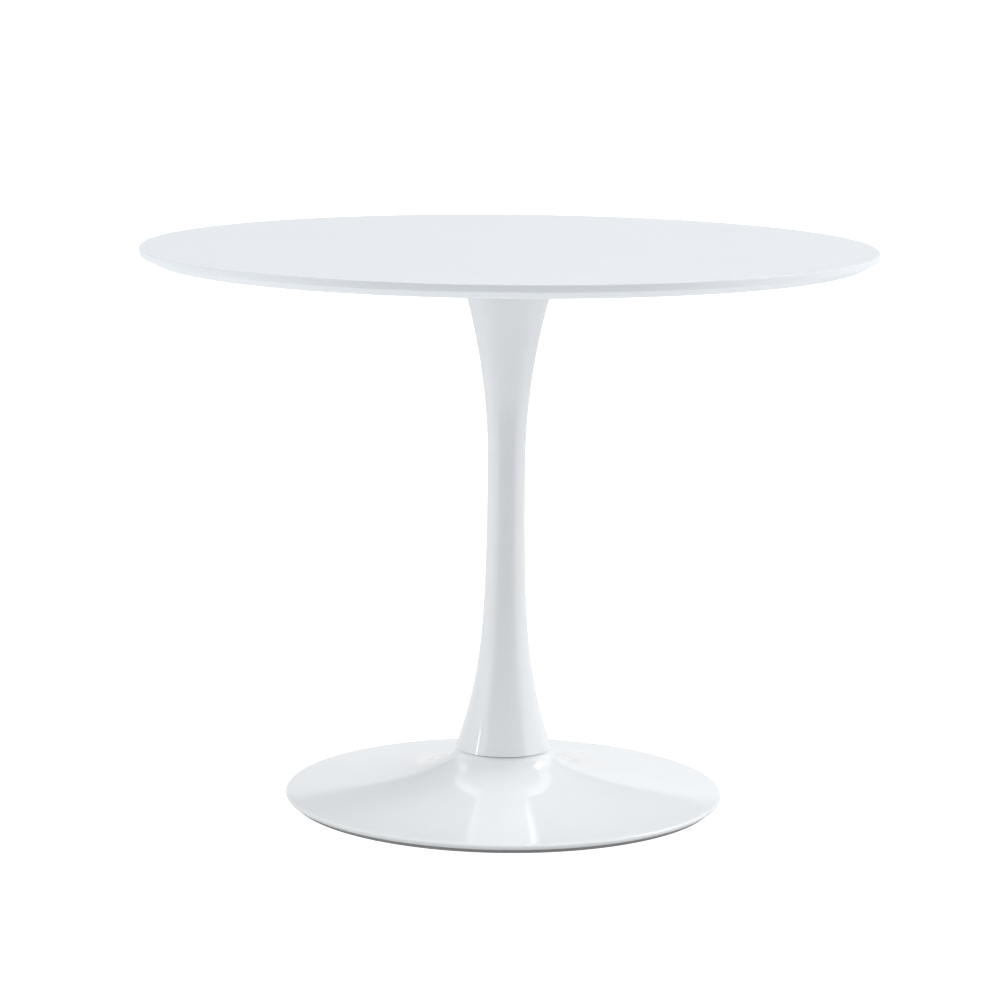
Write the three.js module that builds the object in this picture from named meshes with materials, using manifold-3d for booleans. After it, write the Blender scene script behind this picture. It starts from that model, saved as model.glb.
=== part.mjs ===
// A round dining table on one trumpet-shaped leg. A lacquered board is screwed to a steel plate,
// and one long threaded rod clamps that plate, a spun column, a spun dish and an iron weight together.
// Millimetres, +Z up. The origin is on the floor, on the axis of the column.
import * as THREE from "three";
import { mergeVertices } from "three/addons/utils/BufferGeometryUtils.js";
import Module from "manifold-3d";

const wasm = await Module();
wasm.setup();

// ---- Driving dimensions ----

// The whole table
const HEIGHT = 740;
const TOP_RADIUS = 481;
const RIM_RADIUS = 290.5; // widest part of the base dish
const GAP = 0.3; // between pieces that touch

// Tabletop: an upright edge band over a bevelled underside
const BOARD = 18.7;
const EDGE_BAND = 9;
const BEVEL_INSET = 19;
const ARRIS = 1;

// Steel sheet of the column and the dish
const SHEET = 1.6;

// Column outline: widest at both ends, one waist, upright there
const WAIST_RADIUS = 23.4;
const WAIST_HEIGHT = 451;
const COLUMN_FOOT_RADIUS = 62.2;
const COLUMN_MOUTH_RADIUS = 65;
// How far its curves lean out of, and follow, the upright at each end
const FOOT_FLARE = { out: 7.2, up: 95.8 };
const WAIST_REACH = { down: 229, up: 46 };
const MOUTH_FLARE = { out: 2.2, down: 128.7 };

// Base dish: a neck that sweeps out into a low cone with a rolled rim
const NECK_RADIUS = 62.2;
const LAND_HEIGHT = 69.5; // flat top of the neck, on which the column stands
const NECK_EDGE = 0.8; // softened edge of that land
const NECK_SWEEP = { out: 8.8, down: 25.5 };
const CONE_SWEEP = { out: 73.8, up: 4.3 };
const ROLL_RADIUS = 3.4;
const FLANGE_INNER_RADIUS = 262; // the rim turns under as a flat flange

// Ring under the rim, and the board that closes the base
const FOOT_HEIGHT = 5.4;
const FOOT_INNER_RADIUS = 274;
const FOOT_OUTER_RADIUS = 282;
const COVER_THICKNESS = 2.5;
const COVER_HOLE_RADIUS = 35;

// Mounting plate under the board, with a pressed cup for the upper nut
const PLATE_RADIUS = 160;
const PLATE = 4;
const CUP_DEPTH = 17.7;
const CUP_FLOOR_RADIUS = 40;
const CUP_MOUTH_RADIUS = 48;

// Threaded rod and what clamps it, M12
const ROD_RADIUS = 6;
const ROD_HOLE_RADIUS = 6.6;
const NUT_ACROSS_FLATS = 18;
const NUT_HEIGHT = 10;
const SMALL_WASHER_RADIUS = 12;
const SPRING_WASHER_RADIUS = 10.5;
const CLAMP_WASHER_RADIUS = 28;
const THIN_WASHER = 2.5;
const THICK_WASHER = 3;

// Cast iron weight
const WEIGHT_RADIUS = 172;
const WEIGHT_UNDERSIDE = 8;
const WEIGHT_EDGE = 6;
const WEIGHT_SHOULDER = { radius: 112, above: 15 }; // heights above its underside
const WEIGHT_CROWN = { radius: 58, above: 26 };
const WEIGHT_FILLET = { radius: 32, above: 32 };
const WEIGHT_HUB_RADIUS = 28;
const WEIGHT_RECESS_RADIUS = 32;
const WEIGHT_RECESS_DEPTH = 18;

// M6 screws, washers and threaded inserts that hold the board
const BOARD_SCREWS = 6;
const BOARD_SCREW_CIRCLE = 135;
const BOARD_SCREW = { radius: 3, length: 18, head: 5.5, headHeight: 3.5, socketFlats: 4 };
const SCREW_WASHER = { radius: 6.5, thickness: 1.6 };
const INSERT = { radius: 4.5, length: 12 };

// M4 screws of the bottom cover
const COVER_SCREWS = 4;
const COVER_SCREW_CIRCLE = 267;
const COVER_SCREW = { radius: 2, length: 6.5, head: 3.6, headHeight: 1.3, socketFlats: 2.5 };

// Sides of the round pieces
const BOARD_SIDES = 72;
const DISH_SIDES = 56;
const COLUMN_SIDES = 32;
const DISC_SIDES = 32;
const ROD_SIDES = 16;
const SCREW_SIDES = 12;

// ---- Heights that follow ----

const boardUnderside = HEIGHT - BOARD;
const plateTop = boardUnderside - GAP;
const plateUnderside = plateTop - PLATE;
const cupFloorTop = plateTop - CUP_DEPTH;
const columnTop = plateUnderside - GAP;
const columnFoot = LAND_HEIGHT + GAP;
const landUnderside = LAND_HEIGHT - SHEET;
const flangeUnderside = FOOT_HEIGHT + GAP;
const rollCentre = new THREE.Vector2(RIM_RADIUS - ROLL_RADIUS, flangeUnderside + ROLL_RADIUS);
const coverUnderside = FOOT_HEIGHT - COVER_THICKNESS;
const recessCeiling = WEIGHT_UNDERSIDE + WEIGHT_RECESS_DEPTH;

// ---- Finishes ----

function finish(color, roughness, metalness) {
  return new THREE.MeshStandardMaterial({ color, roughness, metalness });
}

const whiteLacquer = () => finish(0xeef1f4, 0.4, 0);
const whiteEnamel = () => finish(0xeceff3, 0.2, 0);
const zincPlate = () => finish(0xb9bcc0, 0.35, 1);
const brassPlate = () => finish(0xc9a65a, 0.35, 1);
const rawIron = () => finish(0x3a3b3d, 0.75, 0.6);
const greyRubber = () => finish(0x8b8e92, 0.8, 0);
const blackBoard = () => finish(0x1d1d1f, 0.85, 0);

// ---- Shapes ----

const point = (radius, height) => new THREE.Vector2(radius, height);

// A turned solid about Z, from an outline of radius and height that runs round the material.
function turned(outline, sides) {
  const geometry = new THREE.LatheGeometry(outline, sides);
  geometry.rotateX(Math.PI / 2);
  return geometry;
}

function closed(outline) {
  return [...outline, outline[0]];
}

function ring(inner, outer, bottom, top, sides) {
  const outline = [point(inner, bottom), point(outer, bottom), point(outer, top), point(inner, top)];
  return turned(closed(outline), sides);
}

function rod(radius, bottom, top, sides) {
  return turned([point(0, bottom), point(radius, bottom), point(radius, top), point(0, top)], sides);
}

function solidOf(geometry) {
  const bare = geometry.clone();
  bare.deleteAttribute("normal");
  bare.deleteAttribute("uv");
  const merged = mergeVertices(bare, 1e-3);
  return new wasm.Manifold(
    new wasm.Mesh({
      numProp: 3,
      vertProperties: merged.attributes.position.array,
      triVerts: new Uint32Array(merged.index.array),
    }),
  );
}

function geometryOf(solid) {
  const { vertProperties, triVerts } = solid.getMesh();
  const geometry = new THREE.BufferGeometry();
  geometry.setAttribute("position", new THREE.BufferAttribute(vertProperties, 3));
  geometry.setIndex(new THREE.BufferAttribute(triVerts, 1));
  geometry.computeVertexNormals();
  return geometry;
}

function cut(geometry, tools) {
  return geometryOf(tools.reduce((left, tool) => left.subtract(solidOf(tool)), solidOf(geometry)));
}

function circlePlaces(count, radius) {
  const places = [];
  for (let i = 0; i < count; i += 1) {
    const angle = ((i + 0.5) * 2 * Math.PI) / count;
    places.push({ x: radius * Math.cos(angle), y: radius * Math.sin(angle) });
  }
  return places;
}

function holes(places, radius, bottom, top) {
  return places.map(({ x, y }) => rod(radius, bottom, top, SCREW_SIDES).translate(x, y, 0));
}

// A hexagon has its flats at the given distance.
function hexagon(acrossFlats, bottom, top) {
  return rod(acrossFlats / Math.sqrt(3), bottom, top, 6);
}

// ---- Fasteners, each modelled at the origin ----

// The screw stands head down, with the underside of its head at z = 0 and its shank going up.
function headDownScrew({ radius, length, head, headHeight, socketFlats }) {
  const body = turned(
    [
      point(0, -headHeight),
      point(head * 0.7, -headHeight),
      point(head, -headHeight * 0.55),
      point(head, 0),
      point(radius, 0),
      point(radius, length),
      point(0, length),
    ],
    SCREW_SIDES,
  );
  return cut(body, [hexagon(socketFlats, -headHeight - 1, -headHeight * 0.35)]);
}

// A nut stands on z = 0.
function nut(acrossFlats, height, bore) {
  return cut(hexagon(acrossFlats, 0, height), [rod(bore, -1, height + 1, ROD_SIDES)]);
}

// ---- Outlines of the spun pieces ----

const STEPS = 8; // straight steps along one curve

function columnCurves() {
  const lower = new THREE.CubicBezierCurve(
    point(COLUMN_FOOT_RADIUS, columnFoot),
    point(WAIST_RADIUS + FOOT_FLARE.out, columnFoot + FOOT_FLARE.up),
    point(WAIST_RADIUS, WAIST_HEIGHT - WAIST_REACH.down),
    point(WAIST_RADIUS, WAIST_HEIGHT),
  );
  const upper = new THREE.CubicBezierCurve(
    point(WAIST_RADIUS, WAIST_HEIGHT),
    point(WAIST_RADIUS, WAIST_HEIGHT + WAIST_REACH.up),
    point(WAIST_RADIUS + MOUTH_FLARE.out, columnTop - MOUTH_FLARE.down),
    point(COLUMN_MOUTH_RADIUS, columnTop),
  );
  return [lower, upper];
}

function columnOutline() {
  const outer = [];
  const inner = [];
  for (const curve of columnCurves()) {
    for (let i = outer.length ? 1 : 0; i <= STEPS; i += 1) {
      const at = curve.getPoint(i / STEPS);
      const along = curve.getTangent(i / STEPS);
      outer.push(at);
      inner.push(point(at.x - SHEET / along.y, at.y));
    }
  }
  return closed([...outer, ...inner.reverse()]);
}

// The skirt runs from the neck down and out to the top of the rolled rim.
function skirtCurve() {
  const rimTop = rollCentre.y + ROLL_RADIUS;
  return new THREE.CubicBezierCurve(
    point(NECK_RADIUS, LAND_HEIGHT - NECK_EDGE),
    point(NECK_RADIUS + NECK_SWEEP.out, LAND_HEIGHT - NECK_SWEEP.down),
    point(NECK_RADIUS + CONE_SWEEP.out, rimTop + CONE_SWEEP.up),
    point(rollCentre.x, rimTop),
  );
}

// Half a turn round the roll, from straight up, past the outside, to straight down.
function rollArc(radius) {
  const arc = [];
  const turns = 4;
  for (let i = 0; i <= turns; i += 1) {
    const angle = Math.PI / 2 - (i * Math.PI) / turns;
    const out = point(radius * Math.cos(angle), radius * Math.sin(angle));
    arc.push(out.add(rollCentre));
  }
  return arc;
}

function dishOutline() {
  const skirt = skirtCurve();
  const outer = [];
  const inner = [];
  for (let i = 0; i < STEPS; i += 1) {
    const at = skirt.getPoint(i / STEPS);
    const along = skirt.getTangent(i / STEPS);
    outer.push(at);
    if (i > 0) inner.push(point(at.x + along.y * SHEET, at.y - along.x * SHEET));
  }
  const outside = [
    point(ROD_HOLE_RADIUS, LAND_HEIGHT),
    point(NECK_RADIUS - NECK_EDGE, LAND_HEIGHT),
    ...outer,
    ...rollArc(ROLL_RADIUS),
    point(FLANGE_INNER_RADIUS, flangeUnderside),
  ];
  const inside = [
    point(ROD_HOLE_RADIUS, landUnderside),
    point(NECK_RADIUS - SHEET, landUnderside),
    ...inner,
    ...rollArc(ROLL_RADIUS - SHEET),
    point(FLANGE_INNER_RADIUS, flangeUnderside + SHEET),
  ];
  return closed([...inside, ...outside.reverse()]);
}

// ---- Pieces ----

const table = new THREE.Group();
table.name = "round_pedestal_table";

function add(name, geometry, material, height = 0, place = { x: 0, y: 0 }) {
  const mesh = new THREE.Mesh(geometry, material);
  mesh.name = name;
  mesh.position.set(place.x, place.y, height);
  table.add(mesh);
}

function addTabletop(screwPlaces) {
  const flat = TOP_RADIUS - BEVEL_INSET;
  const board = turned(
    [
      point(0, boardUnderside),
      point(flat, boardUnderside),
      point(TOP_RADIUS, HEIGHT - EDGE_BAND),
      point(TOP_RADIUS, HEIGHT - ARRIS),
      point(TOP_RADIUS - ARRIS, HEIGHT),
      point(0, HEIGHT),
    ],
    BOARD_SIDES,
  );
  const depth = INSERT.length + 3 * GAP;
  const pockets = holes(screwPlaces, INSERT.radius + GAP, boardUnderside - 1, boardUnderside + depth);
  add("tabletop", cut(board, pockets), whiteLacquer());
}

function addMountingPlate(screwPlaces) {
  const plate = turned(
    closed([
      point(ROD_HOLE_RADIUS, cupFloorTop - PLATE),
      point(CUP_FLOOR_RADIUS + PLATE, cupFloorTop - PLATE),
      point(CUP_MOUTH_RADIUS + PLATE, plateUnderside),
      point(PLATE_RADIUS, plateUnderside),
      point(PLATE_RADIUS, plateTop),
      point(CUP_MOUTH_RADIUS, plateTop),
      point(CUP_FLOOR_RADIUS, cupFloorTop),
      point(ROD_HOLE_RADIUS, cupFloorTop),
    ]),
    DISC_SIDES,
  );
  const bores = holes(screwPlaces, BOARD_SCREW.radius + GAP, plateUnderside - 1, plateTop + 1);
  add("mounting_plate", cut(plate, bores), whiteEnamel());
}

function addBoardFasteners(screwPlaces) {
  const washerTop = plateUnderside - GAP;
  const washerBottom = washerTop - SCREW_WASHER.thickness;
  const bore = BOARD_SCREW.radius + GAP;
  const insertBottom = boardUnderside + GAP;
  screwPlaces.forEach((place, i) => {
    const insert = ring(bore, INSERT.radius, 0, INSERT.length, SCREW_SIDES);
    const washer = ring(bore, SCREW_WASHER.radius, 0, SCREW_WASHER.thickness, SCREW_SIDES);
    add(`threaded_insert_${i + 1}`, insert, brassPlate(), insertBottom, place);
    add(`plate_washer_${i + 1}`, washer, zincPlate(), washerBottom, place);
    add(`plate_screw_${i + 1}`, headDownScrew(BOARD_SCREW), zincPlate(), washerBottom - GAP, place);
  });
}

function addColumn() {
  add("column", turned(columnOutline(), COLUMN_SIDES), whiteEnamel());
  const [lower] = columnCurves();
  const lean = lower.getTangent(0);
  const radiusInside = COLUMN_FOOT_RADIUS + (PLATE * lean.x) / lean.y - SHEET / lean.y;
  const disc = ring(ROD_HOLE_RADIUS, radiusInside - GAP, 0, PLATE, DISC_SIDES);
  add("column_foot_disc", disc, zincPlate(), columnFoot);
}

function addDish(screwPlaces) {
  const dish = turned(dishOutline(), DISH_SIDES);
  const bores = holes(
    screwPlaces,
    COVER_SCREW.radius + GAP,
    flangeUnderside - 1,
    flangeUnderside + SHEET + 1,
  );
  add("base_dish", cut(dish, bores), whiteEnamel());
}

function addWeight() {
  const weight = turned(
    closed([
      point(ROD_HOLE_RADIUS, recessCeiling),
      point(WEIGHT_RECESS_RADIUS, recessCeiling),
      point(WEIGHT_RECESS_RADIUS, WEIGHT_UNDERSIDE),
      point(WEIGHT_RADIUS, WEIGHT_UNDERSIDE),
      point(WEIGHT_RADIUS, WEIGHT_UNDERSIDE + WEIGHT_EDGE),
      ...[WEIGHT_SHOULDER, WEIGHT_CROWN, WEIGHT_FILLET].map(({ radius, above }) =>
        point(radius, WEIGHT_UNDERSIDE + above),
      ),
      point(WEIGHT_HUB_RADIUS, landUnderside - GAP),
      point(ROD_HOLE_RADIUS, landUnderside - GAP),
    ]),
    DISC_SIDES,
  );
  add("base_weight", weight, rawIron());
}

// From the recess in the weight downwards, and from the cup of the plate upwards.
function addTieRod() {
  const clampBottom = recessCeiling - GAP - THICK_WASHER;
  const springBottom = clampBottom - GAP - THICK_WASHER;
  const nutBottom = springBottom - GAP - NUT_HEIGHT;
  const upperWasherBottom = cupFloorTop + GAP;
  const upperNutBottom = upperWasherBottom + THIN_WASHER + GAP;
  const bore = ROD_RADIUS + GAP;
  const lowEnd = nutBottom - 2;
  const highEnd = upperNutBottom + NUT_HEIGHT + 2;
  const washer = (radius, thickness) => ring(bore, radius, 0, thickness, 24);
  const hexNut = () => nut(NUT_ACROSS_FLATS, NUT_HEIGHT, bore);
  add("tie_rod", rod(ROD_RADIUS, lowEnd, highEnd, ROD_SIDES), zincPlate());
  add("clamp_washer", washer(CLAMP_WASHER_RADIUS, THICK_WASHER), zincPlate(), clampBottom);
  add("spring_washer", washer(SPRING_WASHER_RADIUS, THICK_WASHER), zincPlate(), springBottom);
  add("lower_nut", hexNut(), zincPlate(), nutBottom);
  add("upper_washer", washer(SMALL_WASHER_RADIUS, THIN_WASHER), zincPlate(), upperWasherBottom);
  add("upper_nut", hexNut(), zincPlate(), upperNutBottom);
}

function addUnderside(screwPlaces) {
  const chamfer = 0.8;
  const foot = turned(
    closed([
      point(FOOT_INNER_RADIUS + chamfer, 0),
      point(FOOT_OUTER_RADIUS - chamfer, 0),
      point(FOOT_OUTER_RADIUS, chamfer),
      point(FOOT_OUTER_RADIUS, FOOT_HEIGHT),
      point(FOOT_INNER_RADIUS, FOOT_HEIGHT),
      point(FOOT_INNER_RADIUS, chamfer),
    ]),
    DISH_SIDES,
  );
  add("foot_ring", foot, greyRubber());

  const coverRadius = FOOT_INNER_RADIUS - GAP;
  const cover = ring(COVER_HOLE_RADIUS, coverRadius, coverUnderside, FOOT_HEIGHT, DISH_SIDES);
  const bores = holes(screwPlaces, COVER_SCREW.radius + GAP, coverUnderside - 1, FOOT_HEIGHT + 1);
  add("bottom_cover", cut(cover, bores), blackBoard());

  screwPlaces.forEach((place, i) => {
    add(`cover_screw_${i + 1}`, headDownScrew(COVER_SCREW), zincPlate(), coverUnderside - GAP, place);
  });
}

const boardScrewPlaces = circlePlaces(BOARD_SCREWS, BOARD_SCREW_CIRCLE);
const coverScrewPlaces = circlePlaces(COVER_SCREWS, COVER_SCREW_CIRCLE);

addTabletop(boardScrewPlaces);
addMountingPlate(boardScrewPlaces);
addBoardFasteners(boardScrewPlaces);
addColumn();
addDish(coverScrewPlaces);
addWeight();
addTieRod();
addUnderside(coverScrewPlaces);

export default table;
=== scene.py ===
"""A round pedestal table, modelled and finished around its engineering frame. Metres, +Z up."""

import math

import bmesh
import bpy
from bpy.props import FloatProperty, FloatVectorProperty, IntProperty, PointerProperty
from bpy.types import Operator, Panel, PropertyGroup
from mathutils import Matrix, Vector


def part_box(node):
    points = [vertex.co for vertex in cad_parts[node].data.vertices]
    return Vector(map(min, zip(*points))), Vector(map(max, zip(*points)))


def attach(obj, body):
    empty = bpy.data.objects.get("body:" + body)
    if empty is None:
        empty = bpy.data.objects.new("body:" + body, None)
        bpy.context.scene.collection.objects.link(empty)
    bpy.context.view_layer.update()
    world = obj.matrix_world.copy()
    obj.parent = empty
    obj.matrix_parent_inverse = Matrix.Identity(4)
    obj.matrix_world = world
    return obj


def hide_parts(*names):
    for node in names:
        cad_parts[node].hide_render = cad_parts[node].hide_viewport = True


bl_info = {
    "name": "Round Pedestal Table",
    "version": (1, 0, 0),
    "blender": (4, 5, 0),
    "location": "View3D > Sidebar > Table",
    "description": "Models a round pedestal table piece by piece, with its finishes and studio",
    "category": "Add Mesh",
}

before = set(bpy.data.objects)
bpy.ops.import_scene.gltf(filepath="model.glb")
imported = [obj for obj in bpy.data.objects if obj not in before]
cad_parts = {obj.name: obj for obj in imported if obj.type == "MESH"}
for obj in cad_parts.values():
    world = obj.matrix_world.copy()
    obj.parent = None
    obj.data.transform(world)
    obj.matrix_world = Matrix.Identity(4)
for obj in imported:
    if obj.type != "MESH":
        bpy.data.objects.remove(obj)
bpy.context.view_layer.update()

MM = 0.001
GAP = 0.3 * MM  # between pieces that touch
BODY = "root"  # nothing on the table moves
PLATE_SCREW_HOLE = 3 * MM + GAP  # radius of a clearance hole
COVER_SCREW_HOLE = 2 * MM + GAP


def low(node):
    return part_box(node)[0]


def high(node):
    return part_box(node)[1]


def thickness(node):
    return high(node).z - low(node).z


def middle(node):
    return (low(node) + high(node)) / 2


def numbered(stem, count):
    return [f"{stem}_{i + 1}" for i in range(count)]


INSERTS = numbered("threaded_insert", 6)
PLATE_WASHERS = numbered("plate_washer", 6)
PLATE_SCREWS = numbered("plate_screw", 6)
COVER_SCREWS = numbered("cover_screw", 4)


# ---- Settings that a user would change ----


def length(name, description, default, step=0.1):
    return FloatProperty(
        name=name, description=description, default=default, min=0.0, unit="LENGTH", step=step
    )


def rotation(name, description, degrees):
    return FloatProperty(
        name=name, description=description, default=math.radians(degrees), subtype="ANGLE"
    )


def side_count(description, default):
    return IntProperty(name="Sides", description=description, default=default, min=16)


def colour(name, description, default):
    return FloatVectorProperty(
        name=name, description=description, default=default, subtype="COLOR", min=0.0, max=1.0
    )


class TabletopSettings(PropertyGroup):
    radius: length("Radius", "Half the width of the board", high("tabletop").x)
    edge_band: length("Edge band", "Height of the upright part of the edge", 9 * MM)
    bevel_inset: length("Bevel inset", "How far the bevel runs in under the board", 19 * MM)
    arris: length("Arris", "Radius of the softened corners", 1.1 * MM)
    sides: side_count("Straight sides round the edge", 256)


class ColumnSettings(PropertyGroup):
    foot_radius: length("Foot radius", "Radius at the seam", 62.2 * MM)
    mouth_radius: length("Mouth radius", "Radius under the board", 65 * MM)
    waist_radius: length("Waist radius", "Radius of the narrowest part", 23.4 * MM)
    waist_height: length("Waist height", "Height of the narrowest part", 451 * MM)
    sheet: length("Sheet", "Thickness of the spun steel", 1.6 * MM)
    sides: side_count("Straight sides round the column", 160)


class BaseSettings(PropertyGroup):
    rim_radius: length("Rim radius", "Half the width of the base", high("base_dish").x)
    neck_radius: length("Neck radius", "Radius of the neck under the seam", 62.2 * MM)
    neck_edge: length("Neck edge", "Radius of the softened edge at the seam", 0.8 * MM)
    roll_radius: length("Roll radius", "Radius of the rolled rim", 3.4 * MM)
    flange_radius: length("Flange radius", "Inner radius of the flange under the rim", 262 * MM)
    sides: side_count("Straight sides round the base", 216)


class FixingSettings(PropertyGroup):
    rod_radius: length("Rod radius", "Half the diameter of the threaded rod", high("tie_rod").x)
    thread_pitch: length("Thread pitch", "From one thread of the rod to the next", 1.75 * MM)
    plate_radius: length("Plate radius", "Half the width of the plate", high("mounting_plate").x)
    cover_hole: length("Wrench hole", "Radius of the hole in the bottom cover", 35 * MM)


class FinishSettings(PropertyGroup):
    lacquer: colour("Lacquer", "Colour of the board", (0.79, 0.832, 0.873))
    enamel: colour("Enamel", "Colour of the column and the base", (0.795, 0.821, 0.842))
    rubber: colour("Foot ring", "Colour of the ring under the rim", (0.31, 0.315, 0.32))
    board: colour("Bottom cover", "Colour of the board under the base", (0.016, 0.016, 0.017))


class StudioSettings(PropertyGroup):
    camera_distance: length("Camera distance", "From the column to the camera", 4.505)
    camera_side: FloatProperty(
        name="Camera side", description="Sideways place", default=-12.5 * MM, unit="LENGTH"
    )
    camera_height: length("Camera height", "Above the floor", 1.1676)
    camera_pitch: rotation("Pitch", "Downward tilt", 9.635)
    camera_roll: rotation("Roll", "Turn about the line of sight", 0.397)
    camera_yaw: rotation("Yaw", "Turn about the upright", 1.119)
    focal_length: FloatProperty(name="Focal length", description="In millimetres", default=124.51)
    camera_shift: FloatProperty(
        name="Shift", description="Sideways, in picture widths", default=0.07
    )


class PedestalTableSettings(PropertyGroup):
    tabletop: PointerProperty(type=TabletopSettings)
    column: PointerProperty(type=ColumnSettings)
    base: PointerProperty(type=BaseSettings)
    fixings: PointerProperty(type=FixingSettings)
    finishes: PointerProperty(type=FinishSettings)
    studio: PointerProperty(type=StudioSettings)


def settings_of(context):
    return context.scene.pedestal_table


# ---- Modelling, as by hand ----


def deselect_all():
    if bpy.context.object and bpy.context.object.mode != "OBJECT":
        bpy.ops.object.mode_set(mode="OBJECT")
    bpy.ops.object.select_all(action="DESELECT")


def pick(kind, test):
    """Selects the vertices, edges or faces of the open mesh that pass the test."""
    bpy.ops.mesh.select_mode(type=kind)
    bpy.ops.mesh.select_all(action="DESELECT")
    mesh = bpy.context.edit_object.data
    work = bmesh.from_edit_mesh(mesh)
    for element in {"VERT": work.verts, "EDGE": work.edges, "FACE": work.faces}[kind]:
        if test(element):
            element.select_set(True)
    work.select_flush_mode()
    bmesh.update_edit_mesh(mesh)


def on_ring(radius, height, near=0.02 * MM):
    """True of an edge that lies on a circle about the axis."""

    def test(edge):
        return all(
            abs(math.hypot(v.co.x, v.co.y) - radius) < near and abs(v.co.z - height) < near
            for v in edge.verts
        )

    return test


def round_rings(rings, amount, segments=4):
    """Bevels the circles given as radius and height."""
    tests = [on_ring(radius, height) for radius, height in rings]
    pick("EDGE", lambda edge: any(test(edge) for test in tests))
    bpy.ops.mesh.bevel(offset=amount, offset_type="OFFSET", segments=segments, affect="EDGES")


def extrude_to(radius, height, last_radius, last_height):
    bpy.ops.mesh.extrude_region_move(TRANSFORM_OT_translate={"value": (0, 0, height - last_height)})
    factor = radius / last_radius
    bpy.ops.transform.resize(value=(factor, factor, 1), center_override=(0, 0, height))


def turned(outline, sides, centre=(0, 0)):
    """Extrudes a circle through an outline of radii and heights, and stays in edit mode."""
    deselect_all()
    (radius, height), *rest = outline
    bpy.ops.mesh.primitive_circle_add(vertices=sides, radius=radius, location=(0, 0, height))
    bpy.ops.object.transform_apply(location=True)
    bpy.ops.object.mode_set(mode="EDIT")
    bpy.ops.mesh.select_mode(type="EDGE")
    bpy.ops.mesh.select_all(action="SELECT")
    for next_radius, next_height in rest:
        extrude_to(next_radius, next_height, radius, height)
        radius, height = next_radius, next_height
    bpy.ops.mesh.select_all(action="SELECT")
    if tuple(centre) != (0, 0):
        bpy.ops.transform.translate(value=(centre[0], centre[1], 0))
    return bpy.context.edit_object


def close_shell():
    """Merges the seams of the open mesh and turns its faces outwards."""
    bpy.ops.mesh.select_all(action="SELECT")
    bpy.ops.mesh.remove_doubles(threshold=0.002 * MM)
    bpy.ops.mesh.normals_make_consistent(inside=False)


def turned_ring(outline, sides, centre=(0, 0)):
    piece = turned([*outline, outline[0]], sides, centre)
    close_shell()
    return piece


def washer_outline(inner, outer, bottom, top):
    return [(inner, bottom), (outer, bottom), (outer, top), (inner, top)]


def cylinder(radius, bottom, top, sides, centre=(0, 0)):
    """Adds an upright cylinder and leaves it open for editing, all selected."""
    deselect_all()
    bpy.ops.mesh.primitive_cylinder_add(
        vertices=sides,
        radius=radius,
        depth=top - bottom,
        location=(centre[0], centre[1], (top + bottom) / 2),
    )
    bpy.ops.object.transform_apply(location=True)
    bpy.ops.object.mode_set(mode="EDIT")
    return bpy.context.edit_object


def caps(up):
    """True of a flat cap that looks up, or down."""
    return lambda face: face.normal.z > 0.9 if up else face.normal.z < -0.9


def widest(test):
    """The one face with the largest area among those that pass."""
    mesh = bmesh.from_edit_mesh(bpy.context.edit_object.data)
    found = max((f for f in mesh.faces if test(f)), key=lambda f: f.calc_area())
    index = found.index
    return lambda face: face.index == index


def support_cap(up, amount):
    """Insets a cap, so that shading stays flat right up to its edge."""
    pick("FACE", widest(caps(up)))
    bpy.ops.mesh.inset(thickness=amount, depth=0)


def close_ends():
    """Closes the open ends of a turned piece with flat faces."""
    pick("EDGE", lambda edge: edge.is_boundary)
    bpy.ops.mesh.edge_face_add()
    close_shell()
    return close_editing()


def close_editing():
    bpy.ops.mesh.select_all(action="DESELECT")
    bpy.ops.object.mode_set(mode="OBJECT")
    return bpy.context.object


def cut(piece, tool, operation="DIFFERENCE"):
    """Cuts a tool out of a piece, or trims the piece to it, and removes the tool."""
    change = piece.modifiers.new("cut", "BOOLEAN")
    change.operation = operation
    change.solver = "EXACT"
    change.object = tool
    bpy.context.view_layer.objects.active = piece
    bpy.ops.object.modifier_apply(modifier=change.name)
    bpy.data.objects.remove(tool)


def drill(piece, places, radius, bottom, top, sides=32):
    """Drills one round hole at each place."""
    for place in places:
        cylinder(radius, bottom, top, sides, place)
        cut(piece, close_editing())


def copy_to(piece, name, offset):
    """A copy with its own mesh, moved within the mesh."""
    double = piece.copy()
    double.data = piece.data.copy()
    double.data.transform(Matrix.Translation(offset))
    bpy.context.collection.objects.link(double)
    double.name = name
    double.data.name = name
    return double


def shade(piece, angle=30):
    deselect_all()
    piece.select_set(True)
    bpy.context.view_layer.objects.active = piece
    bpy.ops.object.shade_smooth_by_angle(angle=math.radians(angle))


def settle(piece, name, material, slot, *nodes):
    """Names a finished piece, gives it its finish, and lets it stand for its frame nodes."""
    piece.name = name
    piece.data.name = name
    piece.data.materials.clear()
    piece.data.materials.append(material)
    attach(piece, BODY)
    if nodes:
        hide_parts(*nodes)
    return piece


# ---- Curves of the spun pieces ----


def bezier(ends, steps):
    """Radii and heights along a cubic curve with four control points."""
    a, b, c, d = (Vector(p) for p in ends)
    points = []
    for i in range(steps + 1):
        t = i / steps
        s = 1 - t
        points.append(a * s**3 + b * (3 * s * s * t) + c * (3 * s * t * t) + d * t**3)
    return points


def offset_inwards(points, amount):
    """The same curve, moved to the left of its own direction."""
    moved = []
    for i, here in enumerate(points):
        before = points[max(i - 1, 0)]
        after = points[min(i + 1, len(points) - 1)]
        along = (after - before).normalized()
        moved.append(here + Vector((along.y, -along.x)) * amount)
    return moved


def arc(centre, radius, start, end, steps):
    """Points on an arc, with angles in degrees from outwards towards up."""
    x, y = centre
    points = []
    for i in range(steps + 1):
        turn = math.radians(start + (end - start) * i / steps)
        points.append(Vector((x + radius * math.cos(turn), y + radius * math.sin(turn))))
    return points


# ---- Finishes ----


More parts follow.
